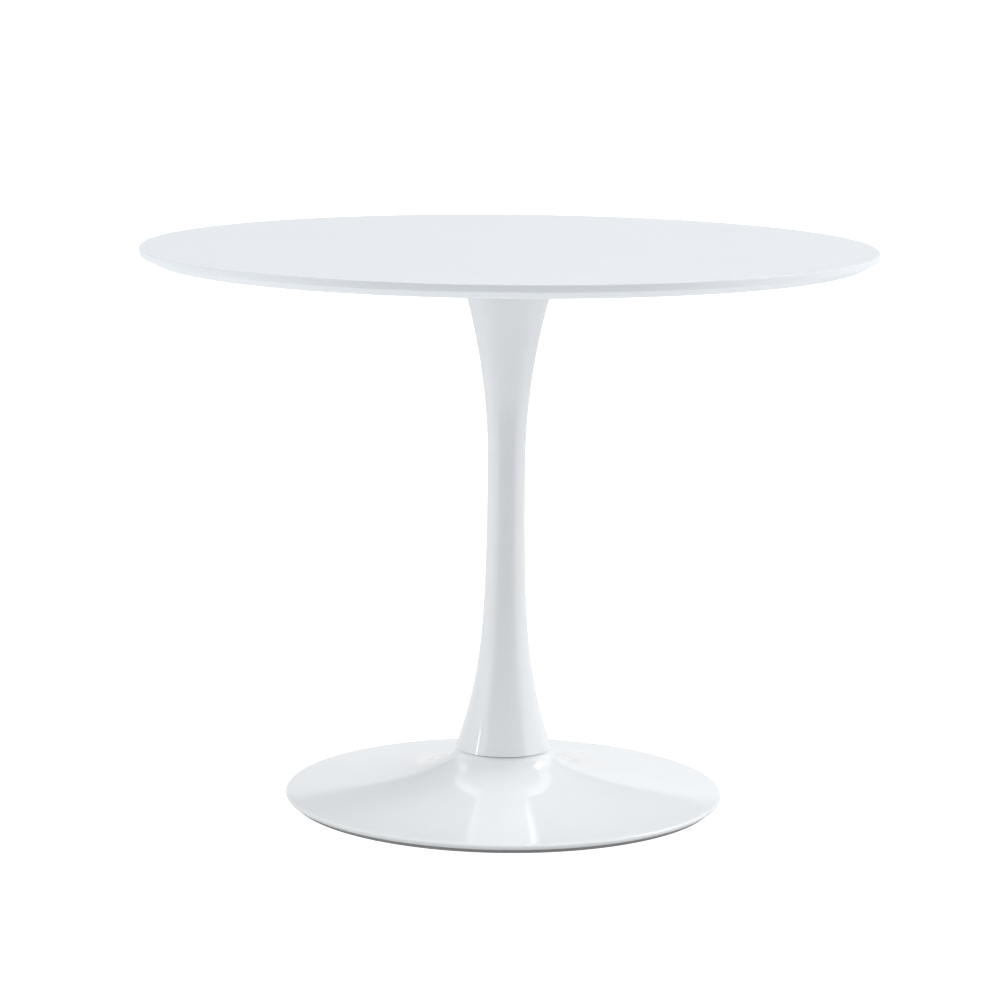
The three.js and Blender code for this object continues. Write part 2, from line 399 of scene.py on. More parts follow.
class Finish:
    """A node material with a Principled shader, and short ways to add nodes to it."""

    def __init__(self, name):
        self.material = bpy.data.materials.new(name)
        self.material.use_nodes = True
        self.nodes = self.material.node_tree.nodes
        self.links = self.material.node_tree.links
        self.shader = self.nodes["Principled BSDF"]
        self.place = self.nodes.new("ShaderNodeTexCoord").outputs["Object"]

    def set(self, **values):
        for name, value in values.items():
            self.shader.inputs[name.replace("_", " ")].default_value = value

    def group(self, tree, **values):
        node = self.nodes.new("ShaderNodeGroup")
        node.node_tree = tree
        self.links.new(self.place, node.inputs["Place"])
        for name, value in values.items():
            node.inputs[name.replace("_", " ")].default_value = value
        return node

    def feed(self, output, socket):
        self.links.new(output, self.shader.inputs[socket])

    def bump(self, height, distance, strength=1.0):
        node = self.nodes.new("ShaderNodeBump")
        node.inputs["Distance"].default_value = distance
        node.inputs["Strength"].default_value = strength
        self.links.new(height, node.inputs["Height"])
        self.feed(node.outputs["Normal"], "Normal")


def new_group(name, inputs, outputs):
    """An empty node group with its sockets, and its input and output nodes."""
    tree = bpy.data.node_groups.new(name, "ShaderNodeTree")
    kinds = {"vector": "NodeSocketVector", "value": "NodeSocketFloat", "colour": "NodeSocketColor"}
    for socket, kind, default in inputs:
        made = tree.interface.new_socket(socket, in_out="INPUT", socket_type=kinds[kind])
        if default is not None:
            made.default_value = default
    for socket, kind in outputs:
        tree.interface.new_socket(socket, in_out="OUTPUT", socket_type=kinds[kind])
    return tree, tree.nodes.new("NodeGroupInput"), tree.nodes.new("NodeGroupOutput")


def put(tree, value, socket):
    """Gives a socket a number, or links it to another socket."""
    if isinstance(value, (int, float)):
        socket.default_value = value
    else:
        tree.links.new(value, socket)


def noise(tree, vector, scale, detail=2.0, roughness=0.5):
    """A noise texture in a node tree. scale is a socket or a number."""
    node = tree.nodes.new("ShaderNodeTexNoise")
    node.inputs["Detail"].default_value = detail
    node.inputs["Roughness"].default_value = roughness
    tree.links.new(vector, node.inputs["Vector"])
    put(tree, scale, node.inputs["Scale"])
    return node.outputs["Fac"]


def remap(tree, value, low_in, high_in, low_out, high_out):
    """A Map Range node. Each limit is a socket or a number."""
    node = tree.nodes.new("ShaderNodeMapRange")
    limits = {"From Min": low_in, "From Max": high_in, "To Min": low_out, "To Max": high_out}
    for name, limit in limits.items():
        put(tree, limit, node.inputs[name])
    tree.links.new(value, node.inputs["Value"])
    return node.outputs["Result"]


def calculate(tree, operation, a, b=0.0):
    node = tree.nodes.new("ShaderNodeMath")
    node.operation = operation
    for socket, value in zip(node.inputs, (a, b)):
        put(tree, value, socket)
    return node.outputs["Value"]


def sprayed_film():
    """Orange peel and soft drifts of a sprayed film: a height, a colour and a roughness."""
    tree, given, out = new_group(
        "sprayed film",
        [
            ("Place", "vector", None),
            ("Colour", "colour", (0.8, 0.8, 0.8, 1)),
            ("Peel Size", "value", 0.0025),
            ("Roughness", "value", 0.3),
            ("Roughness Drift", "value", 0.05),
            ("Tone Drift", "value", 0.02),
        ],
        [("Colour", "colour"), ("Roughness", "value"), ("Height", "value")],
    )
    place = given.outputs["Place"]
    peel_scale = calculate(tree, "DIVIDE", 1.0, given.outputs["Peel Size"])
    peel = noise(tree, place, peel_scale, 1.5, 0.45)
    waves = noise(tree, place, 24.0, 1.0)
    height = calculate(tree, "ADD", peel, calculate(tree, "MULTIPLY", waves, 0.6))
    tree.links.new(height, out.inputs["Height"])

    drift = noise(tree, place, 5.5, 3.0)
    least = calculate(tree, "SUBTRACT", 1.0, given.outputs["Tone Drift"])
    tone = remap(tree, drift, 0.3, 0.7, least, 1.0)
    scaled = tree.nodes.new("ShaderNodeVectorMath")
    scaled.operation = "SCALE"
    tree.links.new(given.outputs["Colour"], scaled.inputs[0])
    tree.links.new(tone, scaled.inputs["Scale"])
    tree.links.new(scaled.outputs["Vector"], out.inputs["Colour"])

    smears = noise(tree, place, 38.0, 4.0, 0.6)
    half = calculate(tree, "MULTIPLY", given.outputs["Roughness Drift"], 0.5)
    mattest = calculate(tree, "ADD", given.outputs["Roughness"], half)
    glossiest = calculate(tree, "SUBTRACT", given.outputs["Roughness"], half)
    tree.links.new(remap(tree, smears, 0.3, 0.7, glossiest, mattest), out.inputs["Roughness"])
    return tree


def grained_surface():
    """Fine grain over coarser mottling: a colour, a roughness and a height."""
    tree, given, out = new_group(
        "grained surface",
        [
            ("Place", "vector", None),
            ("Dark Colour", "colour", (0.1, 0.1, 0.1, 1)),
            ("Light Colour", "colour", (0.3, 0.3, 0.3, 1)),
            ("Grain Size", "value", 0.001),
            ("Mottle Size", "value", 0.01),
            ("Smooth", "value", 0.3),
            ("Rough", "value", 0.6),
        ],
        [("Colour", "colour"), ("Roughness", "value"), ("Height", "value")],
    )
    place = given.outputs["Place"]
    grain_scale = calculate(tree, "DIVIDE", 1.0, given.outputs["Grain Size"])
    mottle_scale = calculate(tree, "DIVIDE", 1.0, given.outputs["Mottle Size"])
    grain = noise(tree, place, grain_scale, 3.0, 0.6)
    mottle = noise(tree, place, mottle_scale, 4.0, 0.55)
    both = calculate(tree, "MULTIPLY_ADD", grain, 0.45)
    tree.links.new(calculate(tree, "MULTIPLY", mottle, 0.55), both.node.inputs[2])
    mask = remap(tree, both, 0.36, 0.64, 0.0, 1.0)
    mix = tree.nodes.new("ShaderNodeMix")
    mix.data_type = "RGBA"
    tree.links.new(mask, mix.inputs["Factor"])
    tree.links.new(given.outputs["Dark Colour"], mix.inputs["A"])
    tree.links.new(given.outputs["Light Colour"], mix.inputs["B"])
    tree.links.new(mix.outputs["Result"], out.inputs["Colour"])
    tree.links.new(
        remap(tree, mottle, 0.35, 0.65, given.outputs["Smooth"], given.outputs["Rough"]),
        out.inputs["Roughness"],
    )
    tree.links.new(grain, out.inputs["Height"])
    return tree


GROUPS = {}
FINISHES = {}


def film(name, colour_value, peel_size, peel_depth, roughness, tone_drift):
    """A sprayed white finish."""
    finish = Finish(name)
    coat = finish.group(
        GROUPS["film"],
        Colour=(*colour_value, 1),
        Peel_Size=peel_size,
        Roughness=roughness,
        Roughness_Drift=roughness * 0.3,
        Tone_Drift=tone_drift,
    )
    finish.feed(coat.outputs["Colour"], "Base Color")
    finish.feed(coat.outputs["Roughness"], "Roughness")
    finish.bump(coat.outputs["Height"], peel_depth)
    finish.set(IOR=1.5)
    return finish.material


def grained(name, dark, light, grain_size, mottle_size, smooth, rough, depth, metallic=0.0):
    """A finish that is mostly grain: plated steel, iron, brass, rubber or board."""
    finish = Finish(name)
    surface = finish.group(
        GROUPS["grain"],
        Dark_Colour=(*dark, 1),
        Light_Colour=(*light, 1),
        Grain_Size=grain_size,
        Mottle_Size=mottle_size,
        Smooth=smooth,
        Rough=rough,
    )
    finish.feed(surface.outputs["Colour"], "Base Color")
    finish.feed(surface.outputs["Roughness"], "Roughness")
    finish.bump(surface.outputs["Height"], depth)
    finish.set(Metallic=metallic)
    return finish.material


def scaled_colour(value, factor):
    return tuple(channel * factor for channel in value)


class MakeFinishes(Operator):
    """Mix the paints, the platings, the rubber and the board that the pieces wear"""

    bl_idname = "pedestal_table.finishes"
    bl_label = "Finishes"

    def execute(self, context):
        colours = settings_of(context).finishes
        GROUPS["film"] = sprayed_film()
        GROUPS["grain"] = grained_surface()
        FINISHES["lacquer"] = film(
            "white satin lacquer",
            colours.lacquer,
            peel_size=2.2 * MM,
            peel_depth=0.012 * MM,
            roughness=0.38,
            tone_drift=0.015,
        )
        FINISHES["enamel"] = film(
            "white gloss enamel",
            colours.enamel,
            peel_size=2.8 * MM,
            peel_depth=0.0015 * MM,
            roughness=0.03,
            tone_drift=0.015,
        )
        FINISHES["zinc"] = grained(
            "bright zinc plating",
            dark=(0.50, 0.51, 0.53),
            light=(0.66, 0.66, 0.65),
            grain_size=0.35 * MM,
            mottle_size=6 * MM,
            smooth=0.22,
            rough=0.42,
            depth=0.01 * MM,
            metallic=1.0,
        )
        FINISHES["brass"] = grained(
            "turned brass",
            dark=(0.50, 0.34, 0.12),
            light=(0.66, 0.48, 0.20),
            grain_size=0.4 * MM,
            mottle_size=4 * MM,
            smooth=0.2,
            rough=0.4,
            depth=0.01 * MM,
            metallic=1.0,
        )
        FINISHES["iron"] = grained(
            "sand-cast iron",
            dark=(0.028, 0.028, 0.03),
            light=(0.075, 0.072, 0.07),
            grain_size=1.1 * MM,
            mottle_size=14 * MM,
            smooth=0.55,
            rough=0.85,
            depth=0.35 * MM,
            metallic=0.4,
        )
        FINISHES["rubber"] = grained(
            "grey rubber",
            dark=scaled_colour(colours.rubber, 0.85),
            light=scaled_colour(colours.rubber, 1.1),
            grain_size=0.5 * MM,
            mottle_size=9 * MM,
            smooth=0.6,
            rough=0.8,
            depth=0.03 * MM,
        )
        FINISHES["board"] = grained(
            "black fibreboard",
            dark=scaled_colour(colours.board, 0.7),
            light=scaled_colour(colours.board, 1.6),
            grain_size=0.7 * MM,
            mottle_size=18 * MM,
            smooth=0.6,
            rough=0.85,
            depth=0.04 * MM,
        )
        return {"FINISHED"}


# ---- The pieces ----


class MakeTabletop(Operator):
    """Model the lacquered board with its edge band, its bevelled underside and its screw pockets"""

    bl_idname = "pedestal_table.tabletop"
    bl_label = "Tabletop"

    def execute(self, context):
        size = settings_of(context).tabletop
        top = high("tabletop").z
        bottom = low("tabletop").z
        band_low = top - size.edge_band
        flat = size.radius - size.bevel_inset
        cylinder(size.radius, band_low, top, size.sides)
        pick("FACE", caps(up=False))
        extrude_to(flat, bottom, size.radius, band_low)
        close_shell()
        round_rings([(size.radius, top), (size.radius, band_low), (flat, bottom)], size.arris)
        support_cap(True, 2 * MM)
        support_cap(False, 2 * MM)
        board = close_editing()
        insert = INSERTS[0]
        pocket = high(insert).x - middle(insert).x + GAP
        places = [middle(node).xy for node in INSERTS]
        drill(board, places, pocket, bottom - MM, high(insert).z + 2 * GAP)
        shade(board)
        settle(board, "lacquered_board", FINISHES["lacquer"], "white_lacquer", "tabletop")
        return {"FINISHED"}


class MakeColumn(Operator):
    """Model the spun column shell and the disc in its foot"""

    bl_idname = "pedestal_table.column"
    bl_label = "Column"

    FOOT_FLARE = Vector((7.2, 95.8)) * MM  # from the waist's radius, and up from the foot
    MOUTH_FLARE = Vector((2.2, -128.7)) * MM  # the same at the mouth
    WAIST_DOWN = 229 * MM
    WAIST_UP = 46 * MM
    STEPS = 40

    def outline(self, size):
        foot = low("column").z
        mouth = high("column").z
        waist = Vector((size.waist_radius, size.waist_height))
        lower = bezier(
            [
                (size.foot_radius, foot),
                (waist.x + self.FOOT_FLARE.x, foot + self.FOOT_FLARE.y),
                (waist.x, waist.y - self.WAIST_DOWN),
                waist,
            ],
            self.STEPS,
        )
        upper = bezier(
            [
                waist,
                (waist.x, waist.y + self.WAIST_UP),
                (waist.x + self.MOUTH_FLARE.x, mouth + self.MOUTH_FLARE.y),
                (size.mouth_radius, mouth),
            ],
            self.STEPS,
        )
        return lower + upper[1:]

    def execute(self, context):
        size = settings_of(context).column
        outline = self.outline(size)
        turned(outline, size.sides)
        close_shell()
        column = close_editing()
        wall = column.modifiers.new("sheet", "SOLIDIFY")
        wall.thickness = size.sheet
        wall.offset = -1
        wall.use_even_offset = True
        bpy.context.view_layer.objects.active = column
        bpy.ops.object.modifier_apply(modifier=wall.name)
        bpy.ops.object.mode_set(mode="EDIT")
        round_rings([outline[0], outline[-1]], 0.5 * MM, 3)
        close_editing()
        shade(column, 40)
        settle(column, "column_shell", FINISHES["enamel"], "white_enamel", "column")

        disc = "column_foot_disc"
        hole = settings_of(context).fixings.rod_radius + 2 * GAP
        turned_ring(washer_outline(hole, high(disc).x, low(disc).z, high(disc).z), 96)
        round_rings([(high(disc).x, high(disc).z), (hole, high(disc).z)], 0.5 * MM, 2)
        plate = close_editing()
        shade(plate)
        settle(plate, "column_centring_disc", FINISHES["zinc"], "zinc_plated_steel", disc)
        return {"FINISHED"}


class MakeBase(Operator):
    """Model the spun base shell, from the land under the column to the flange under the rim"""

    bl_idname = "pedestal_table.base"
    bl_label = "Base"

    NECK_SWEEP = Vector((8.8, -25.5)) * MM  # from the neck's radius and the land's height
    CONE_SWEEP = Vector((73.8, 4.3)) * MM  # from the neck's radius and the rim's top
    SHEET = 1.6 * MM
    STEPS = 44

    def outline(self, size, hole):
        land = high("base_dish").z
        floor_side = low("base_dish").z
        roll = Vector((size.rim_radius - size.roll_radius, floor_side + size.roll_radius))
        rim_top = roll.y + size.roll_radius
        neck = size.neck_radius
        skirt = bezier(
            [
                (neck, land - size.neck_edge),
                (neck + self.NECK_SWEEP.x, land + self.NECK_SWEEP.y),
                (neck + self.CONE_SWEEP.x, rim_top + self.CONE_SWEEP.y),
                (roll.x, rim_top),
            ],
            self.STEPS,
        )
        corner = (neck - size.neck_edge, land - size.neck_edge)
        outside = [
            Vector((hole, land)),
            Vector((neck - 6 * MM, land)),
            *arc(corner, size.neck_edge, 90, 0, 5),
            *skirt[1:],
            *arc(roll, size.roll_radius, 90, -90, 14)[1:],
            Vector((size.flange_radius, floor_side)),
        ]
        inside = [
            Vector((hole, land - self.SHEET)),
            Vector((neck - self.SHEET, land - self.SHEET)),
            *[p for p in offset_inwards(skirt, self.SHEET) if p.y < land - 2 * self.SHEET],
            *arc(roll, size.roll_radius - self.SHEET, 90, -90, 8)[1:],
            Vector((size.flange_radius, floor_side + self.SHEET)),
        ]
        return [*inside, *reversed(outside)]

    def execute(self, context):
        size = settings_of(context).base
        hole = settings_of(context).fixings.rod_radius + 2 * GAP
        turned_ring(self.outline(size, hole), size.sides)
        dish = close_editing()
        flange = low("base_dish").z
        places = [middle(node).xy for node in COVER_SCREWS]
        drill(dish, places, COVER_SCREW_HOLE, flange - MM, flange + self.SHEET + MM, 20)
        shade(dish, 35)
        settle(dish, "base_shell", FINISHES["enamel"], "white_enamel", "base_dish")
        return {"FINISHED"}


class MakeFootRing(Operator):
    """Model the grey ring that the table stands on"""

    bl_idname = "pedestal_table.foot_ring"
    bl_label = "Foot ring"

    WIDTH = 8 * MM
    EDGE = 0.8 * MM

    def execute(self, context):
        outer = high("foot_ring").x
        inner = outer - self.WIDTH
        bottom, top = low("foot_ring").z, high("foot_ring").z
        turned_ring(washer_outline(inner, outer, bottom, top), settings_of(context).base.sides)
        round_rings([(inner, bottom), (outer, bottom)], self.EDGE, 3)
        round_rings([(inner, top), (outer, top)], self.EDGE / 2, 2)
        ring = close_editing()
        shade(ring)
        settle(ring, "rubber_foot_ring", FINISHES["rubber"], "grey_rubber", "foot_ring")
        return {"FINISHED"}


class MakeBottomCover(Operator):
    """Model the black board that closes the base, with its wrench hole"""

    bl_idname = "pedestal_table.bottom_cover"
    bl_label = "Bottom cover"

    def execute(self, context):
        hole = settings_of(context).fixings.cover_hole
        outer = high("bottom_cover").x
        bottom, top = low("bottom_cover").z, high("bottom_cover").z
        turned_ring(washer_outline(hole, outer, bottom, top), 192)
        round_rings([(hole, bottom), (outer, bottom)], 0.4 * MM, 2)
        cover = close_editing()
        places = [middle(node).xy for node in COVER_SCREWS]
        drill(cover, places, COVER_SCREW_HOLE, bottom - MM, top + MM, 20)
        shade(cover)
        settle(cover, "base_closing_board", FINISHES["board"], "black_board", "bottom_cover")
        return {"FINISHED"}


class MakeMountingPlate(Operator):
    """Model the steel plate under the board, with the pressed cup for the upper nut"""

    bl_idname = "pedestal_table.mounting_plate"
    bl_label = "Mounting plate"

    CUP_FLOOR = 40 * MM
    CUP_MOUTH = 48 * MM
    PLATE = 4 * MM

    def execute(self, context):
        fixings = settings_of(context).fixings
        outer = fixings.plate_radius
        hole = fixings.rod_radius + 2 * GAP
        bottom, top = low("mounting_plate").z, high("mounting_plate").z
        plate_low = top - self.PLATE
        cup_top = bottom + self.PLATE
        outline = [
            (hole, bottom),
            (self.CUP_FLOOR + self.PLATE, bottom),
            (self.CUP_MOUTH + self.PLATE, plate_low),
            (outer, plate_low),
            (outer, top),
            (self.CUP_MOUTH, top),
            (self.CUP_FLOOR, cup_top),
            (hole, cup_top),
        ]
        turned_ring(outline, 144)
        round_rings([outline[1], outline[2], outline[5], outline[6]], 2.5 * MM, 4)
        round_rings([(outer, plate_low), (outer, top)], 0.6 * MM, 3)
        plate = close_editing()
        places = [middle(node).xy for node in PLATE_SCREWS]
        drill(plate, places, PLATE_SCREW_HOLE, plate_low - MM, top + MM, 24)
        shade(plate, 35)
        enamel = FINISHES["enamel"]
        settle(plate, "enamelled_mounting_plate", enamel, "white_enamel", "mounting_plate")
        return {"FINISHED"}


def screw_at_origin(radius, shank, head, head_height, socket_flats):
    """A button-head screw with its head's underside at height 0 and its shank upwards."""
    dome = arc((0, 0), 1, -62, 0, 6)
    deepest = -dome[0].y
    button = [(head * p.x, head_height * p.y / deepest) for p in dome]
    shaft = [(radius, 0), (radius, shank - radius / 2), (radius * 0.7, shank)]
    turned([*button, *shaft], 40)
    body = close_ends()
    cylinder(socket_flats / math.sqrt(3), -head_height - MM, -head_height * 0.35, 6)
    cut(body, close_editing())
    return body


class MakeScrews(Operator):
    """Model the screws of the plate and of the cover, the washers and the threaded inserts"""

    bl_idname = "pedestal_table.screws"
    bl_label = "Screws and inserts"

    def place_copies(self, model, nodes, stem, finish, slot):
        home = middle(nodes[0])
        for i, node in enumerate(nodes):
            offset = middle(node) - home
            double = copy_to(model, f"{stem}_{i + 1}", offset)
            settle(double, double.name, FINISHES[finish], slot, node)
        bpy.data.objects.remove(model)

    def place_screws(self, nodes, stem, sizes):
        radius, head, head_height, flats = (value * MM for value in sizes)
        first = nodes[0]
        model = screw_at_origin(radius, thickness(first) - head_height, head, head_height, flats)
        shade(model, 35)
        home = Vector((*middle(first).xy, low(first).z + head_height))
        model.data.transform(Matrix.Translation(home))
        self.place_copies(model, nodes, stem, "zinc", "zinc_plated_steel")

    def place_washers(self, nodes, stem, hole, finish, slot):
        first = nodes[0]
        outer = high(first).x - middle(first).x
        bottom, top = low(first).z, high(first).z
        turned_ring(washer_outline(hole, outer, bottom, top), 40)
        round_rings([(hole, bottom), (outer, bottom), (outer, top)], 0.2 * MM, 2)
        pick("VERT", lambda vertex: True)
        bpy.ops.transform.translate(value=(*middle(first).xy, 0))
        model = close_editing()
        shade(model, 35)
        self.place_copies(model, nodes, stem, finish, slot)

    def execute(self, context):
        self.place_screws(PLATE_SCREWS, "board_screw", (3, 5.5, 3.5, 4))
        self.place_screws(COVER_SCREWS, "closing_board_screw", (2, 3.6, 1.3, 2.5))
        hole = PLATE_SCREW_HOLE
        self.place_washers(PLATE_WASHERS, "board_washer", hole, "zinc", "zinc_plated_steel")
        self.place_washers(INSERTS, "board_insert", hole, "brass", "brass")
        return {"FINISHED"}


class MakeClamping(Operator):
    """Model the threaded rod, its nuts and washers, and the iron weight"""

    bl_idname = "pedestal_table.clamping"
    bl_label = "Rod, nuts and weight"

    THREAD_DEPTH = 1.0 * MM
    THREADED_END = 36 * MM
    ACROSS_FLATS = 18 * MM
    SPLIT = 3 * MM

    def make_rod(self, fixings):
        radius = fixings.rod_radius
        root = radius - self.THREAD_DEPTH
        bottom, top = low("tie_rod").z, high("tie_rod").z
        half_pitch = fixings.thread_pitch / 2
        count = round(self.THREADED_END / fixings.thread_pitch)
        outline = [(root - MM, bottom), (root, bottom + half_pitch)]
        for i in range(count):
            at = bottom + half_pitch + (2 * i + 1) * half_pitch
            outline += [(radius, at), (root, at + half_pitch)]
        plain = [(radius, outline[-1][1] + half_pitch)]
        mirrored = [(r, top + bottom - z) for r, z in reversed(outline)]
        turned([*outline, *plain, (radius, mirrored[0][1] - half_pitch), *mirrored], 32)
        rod = close_ends()
        shade(rod, 25)
        settle(rod, "threaded_tie_rod", FINISHES["zinc"], "zinc_plated_steel", "tie_rod")

    def make_nut(self, node, name, bore):
        """A hexagon whose corners are turned off by a barrel."""
        bottom, top = low(node).z, high(node).z
        corner = self.ACROSS_FLATS / math.sqrt(3)
        cylinder(corner, bottom, top, 6)
        bpy.ops.mesh.select_all(action="SELECT")
        bpy.ops.transform.rotate(value=math.radians(30), orient_axis="Z", center_override=(0, 0, 0))
        nut = close_editing()
        chamfer = 1.2 * MM
        face = self.ACROSS_FLATS / 2 - 0.2 * MM
        widest_part = corner + 0.1 * MM
        outline = [
            (face, bottom),
            (widest_part, bottom + chamfer),
            (widest_part, top - chamfer),
            (face, top),
        ]
        turned(outline, 48)
        barrel = close_ends()
        cut(nut, barrel, "INTERSECT")
        drill(nut, [(0, 0)], bore, bottom - MM, top + MM, 32)
        shade(nut)
        settle(nut, name, FINISHES["zinc"], "zinc_plated_steel", node)

    def make_washer(self, node, name, bore, split=False):
        outer = high(node).x
        bottom, top = low(node).z, high(node).z
        turned_ring(washer_outline(bore, outer, bottom, top), 64)
        round_rings([(bore, bottom), (outer, bottom), (outer, top)], 0.3 * MM, 2)
        washer = close_editing()
        if split:
            deselect_all()
            across = (outer + bore) / 2
            bpy.ops.mesh.primitive_cube_add(size=1, location=(across, 0, (top + bottom) / 2))
            bpy.ops.transform.resize(value=(outer, self.SPLIT, 4 * (top - bottom)))
            bpy.ops.object.transform_apply(location=True, scale=True)
            cut(washer, bpy.context.object)
        shade(washer)
        settle(washer, name, FINISHES["zinc"], "zinc_plated_steel", node)

    def make_weight(self, bore):
        underside = low("base_weight").z
        top = high("base_weight").z
        outer = high("base_weight").x
        recess = Vector((32, 18)) * MM
        shoulders = [Vector(p) * MM for p in ((112, 15), (58, 26), (32, 32))]
        hub = 28 * MM
        outline = [
            (bore, underside + recess.y),
            (recess.x, underside + recess.y),
            (recess.x, underside),
            (outer, underside),
            (outer, underside + 6 * MM),
            *[(p.x, underside + p.y) for p in shoulders],
            (hub, top),
            (bore, top),
        ]
        turned_ring(outline, 128)
        round_rings([outline[2], outline[3], outline[4]], 1.5 * MM, 3)
        weight = close_editing()
        shade(weight, 35)
        settle(weight, "cast_iron_weight", FINISHES["iron"], "cast_iron", "base_weight")

    def execute(self, context):
        fixings = settings_of(context).fixings
        bore = fixings.rod_radius + GAP
        self.make_rod(fixings)
        self.make_nut("lower_nut", "rod_nut_lower", bore)
        self.make_nut("upper_nut", "rod_nut_upper", bore)
        self.make_washer("clamp_washer", "rod_clamp_washer", bore)
        self.make_washer("spring_washer", "rod_spring_washer", bore, split=True)
        self.make_washer("upper_washer", "rod_washer_upper", bore)
        self.make_weight(fixings.rod_radius + 2 * GAP)
        return {"FINISHED"}


# ---- The studio ----


class MakeStudio(Operator):
    """Set up the pale floor, the soft lights and the camera"""

    bl_idname = "pedestal_table.studio"
    bl_label = "Studio"

    WHITE = (1, 1, 1, 1)
    FLOOR_GREY = (0.8, 0.8, 0.8, 1)
    FLOOR_HALF = 200.0
    # What the paint reflects of the room, in bands from the floor upwards. Each band has a name,
    # its lowest and highest edge in degrees above the horizon, and its brightness by heading:
    # 0 is over the camera, 90 the right side, -90 the left side and 180 behind the table.
    ROOM = (
        ("foot of the walls", -20, 15.3, (
            (-180, 0.78), (-128, 0.64), (-101, 0.6), (-96, 1.4), (-52, 1.5), (-48, 0.2),
            (56, 0.2), (60, 1.5), (90, 1.5), (96, 0.9), (180, 0.86),
        )),
        ("walls and softboxes", 15.3, 43.5, (
            (-180, 0.36), (-141, 0.3), (-137, 1.2), (-88, 1.3), (-84, 1.7), (-48, 1.6),
            (-44, 0.36), (55, 0.36), (60, 2.2), (118, 2.2), (138, 1.7), (142, 0.5), (180, 0.43),
        )),
        ("ceiling", 43.5, 68, (
            (-180, 1.55), (-141, 1.35), (-137, 0.6), (-56, 0.6), (-52, 1.9),
            (64, 1.9), (68, 0.5), (98, 0.5), (102, 1.8), (180, 1.65),
        )),
    )
    # Each lamp: its heading and height, half its width and height, and how much it adds.
    LAMPS = (
        ("key lamp", (115, 45), (11, 9), 4.2),
        ("fill lamp", (-130, 47), (9, 6), 1.6),
        ("strip lamp", (-70, 16), (2, 2.4), 7.0),
        ("stand of the strip lamp", (-71, 4), (1.3, 9.6), 1.8),
    )
    BRIGHTEST = 2.5  # a ramp holds brightness as a share of this
    BAND_EDGE = 1.2  # degrees over which a band or a lamp ends

    def band(self, tree, heading, height, name, lowest, highest, stops):
        """One band of the room: a ramp round the compass, cut off at its two edges."""
        ramp = tree.nodes.new("ShaderNodeValToRGB")
        ramp.label = name
        points = ramp.color_ramp.elements
        while len(points) < len(stops):
            points.new(1.0)
        for point, (degrees, brightness) in zip(points, stops):
            point.position = (degrees + 180) / 360
            grey = brightness / self.BRIGHTEST
            point.color = (grey, grey, grey, 1)
        tree.links.new(remap(tree, heading, -180, 180, 0.0, 1.0), ramp.inputs["Fac"])
        half = self.BAND_EDGE / 2
        above = remap(tree, height, lowest - half, lowest + half, 0.0, self.BRIGHTEST)
        below = remap(tree, height, highest - half, highest + half, 1.0, 0.0)
        inside = calculate(tree, "MULTIPLY", above, below)
        return calculate(tree, "MULTIPLY", inside, ramp.outputs["Color"])

    def apart(self, tree, angle, other):
        return calculate(tree, "ABSOLUTE", calculate(tree, "SUBTRACT", angle, other))

    def lamp(self, tree, heading, height, name, place, half_size, brightness):
        """One lamp: a small bright oblong among the bands."""
        half = self.BAND_EDGE / 2
        aside = self.apart(tree, heading, place[0])
        aloft = self.apart(tree, height, place[1])
        across = remap(tree, aside, half_size[0] - half, half_size[0] + half, brightness, 0.0)
        up = remap(tree, aloft, half_size[1] - half, half_size[1] + half, 1.0, 0.0)
        lit = calculate(tree, "MULTIPLY", across, up)
        lit.node.label = name
        return lit

    def in_degrees(self, tree, angle):
        return calculate(tree, "MULTIPLY", angle, math.degrees(1))

    def heading(self, tree, x, y):
        """Degrees round the table, from the camera's side towards the right."""
        towards_camera = calculate(tree, "MULTIPLY", y, -1.0)
        return self.in_degrees(tree, calculate(tree, "ARCTAN2", x, towards_camera))

    def make_world(self):
        """The room that the paint reflects. The camera itself sees plain white."""
        world = bpy.data.worlds.new("soft studio")
        bpy.context.scene.world = world
        world.use_nodes = True
        tree = world.node_tree
        direction = tree.nodes.new("ShaderNodeTexCoord").outputs["Generated"]
        part = tree.nodes.new("ShaderNodeSeparateXYZ")
        tree.links.new(direction, part.inputs["Vector"])
        x, y, z = (part.outputs[axis] for axis in "XYZ")
        heading = self.heading(tree, x, y)
        height = self.in_degrees(tree, calculate(tree, "ARCSINE", z))
        lights = [self.band(tree, heading, height, *band) for band in self.ROOM]
        lights += [self.lamp(tree, heading, height, *lamp) for lamp in self.LAMPS]
        total = 0.0
        for light in lights:
            total = calculate(tree, "ADD", light, total)
        seen = tree.nodes.new("ShaderNodeLightPath").outputs["Is Camera Ray"]
        background = tree.nodes["Background"]
        background.inputs["Color"].default_value = self.WHITE
        tree.links.new(remap(tree, seen, 0.0, 1.0, total, 1.0), background.inputs["Strength"])

    # Brightness of the floor as the paint reflects it.
    # painted shade: how dim the floor glows under the table, standing in for the table's shadow on
    # it
    SHADE_UNDER_TABLE = 0.65
    BESIDE_TABLE = 1.35
    BEHIND_TABLE = 0.85
    TOWARDS_CAMERA = 0.2
    DARK_HEADING = 4  # middle of the dark part of the floor, towards the camera
    DARK_FADE = (48, 54)  # degrees to either side, over which it ends
    DARK_START = (1.5, 1.8)  # distance from the table over which it starts
    SHADE_FADE = (0.3, 0.9)  # distance over which the shade under the table ends
    BEHIND_FADE = (0.2, 0.9)  # distance behind the middle over which the floor dims

